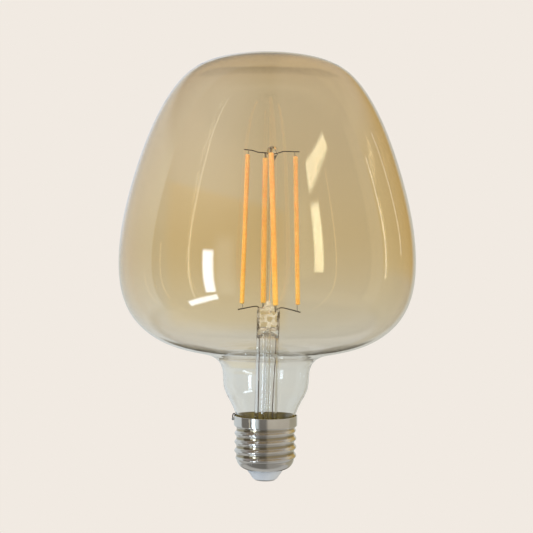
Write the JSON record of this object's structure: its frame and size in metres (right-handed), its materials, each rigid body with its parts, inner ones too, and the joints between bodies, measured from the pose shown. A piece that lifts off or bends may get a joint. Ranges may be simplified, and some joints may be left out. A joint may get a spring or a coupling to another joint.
{
  "type": "led filament light bulb",
  "caption": "Large apple-shaped amber glass LED filament lamp with a clear neck, a glass stem holding upright filaments, and a screw cap with its driver inside.",
  "frame": {"origin": "middle of the flat bottom of the centre contact, on the lamp axis", "axes": "+Z along the lamp axis from the cap to the crown of the glass; the broad side of the press faces -Y, the side contact wire is on -X"},
  "size_m": [0.1244, 0.1244, 0.1784],
  "materials": {
    "nickel_plate": "bright nickel plate",
    "contact_metal": "satin",
    "solder": "dull",
    "insulator_glass": "gloss",
    "cement": "matt",
    "dark_wire": "oxidised",
    "amber_glass": "amber-tinted and lightly mirrored",
    "clear_glass": "clear",
    "copper_wire": "satin",
    "nickel_wire": "satin",
    "tag_metal": "satin",
    "phosphor": "smooth silicone",
    "strip_sapphire": "gloss",
    "led_chip": "gloss",
    "cup_plastic": "matt",
    "board": "satin solder mask",
    "moulded_package": "matt",
    "capacitor_can": "satin",
    "ferrite": "matt",
    "copper_winding": "lacquered",
    "resistor_coat": "gloss",
    "radio_board": "satin solder mask",
    "shield_metal": "satin",
    "chip_part": "matt",
    "wire_insulation": "gloss"
  },
  "bodies": {
    "root": {"base_insulator": "insulator_glass", "bridge_rectifier": "moulded_package", "bulk_capacitor": "capacitor_can", "capping_cement": "cement", "centre_contact": "contact_metal", "chip_capacitors": "chip_part", "chip_resistors": "chip_part", "contact_solder": "solder", "crossarm_back": "nickel_wire", "crossarm_front": "nickel_wire", "driver_board": "board", "driver_chip": "moulded_package", "driver_cup": "cup_plastic", "exhaust_tube": "clear_glass", "filament_back_bottom_tag": "tag_metal", "filament_back_chips": "led_chip", "filament_back_phosphor_coat": "phosphor", "filament_back_strip": "strip_sapphire", "filament_back_top_tag": "tag_metal", "filament_front_bottom_tag": "tag_metal", "filament_front_chips": "led_chip", "filament_front_phosphor_coat": "phosphor", "filament_front_strip": "strip_sapphire", "filament_front_top_tag": "tag_metal", "filament_left_bottom_tag": "tag_metal", "filament_left_chips": "led_chip", "filament_left_phosphor_coat": "phosphor", "filament_left_strip": "strip_sapphire", "filament_left_top_tag": "tag_metal", "filament_right_bottom_tag": "tag_metal", "filament_right_chips": "led_chip", "filament_right_phosphor_coat": "phosphor", "filament_right_strip": "strip_sapphire", "filament_right_top_tag": "tag_metal", "fuse_resistor": "resistor_coat", "glass_envelope": "amber_glass", "glass_stem": "clear_glass", "inductor_core": "ferrite", "inductor_winding": "copper_winding", "inner_lead_left": "nickel_wire", "inner_lead_right": "nickel_wire", "live_wire": "wire_insulation", "outer_lead_left": "copper_wire", "outer_lead_right": "copper_wire", "press_seal_wire_left": "copper_wire", "press_seal_wire_right": "copper_wire", "radio_module": "radio_board", "radio_shield": "shield_metal", "screw_shell": "nickel_plate", "side_contact_wire": "dark_wire", "side_solder": "solder", "support_rod": "clear_glass", "top_crosswire_fore": "nickel_wire", "top_crosswire_side": "nickel_wire"}
  },
  "joints": []
}
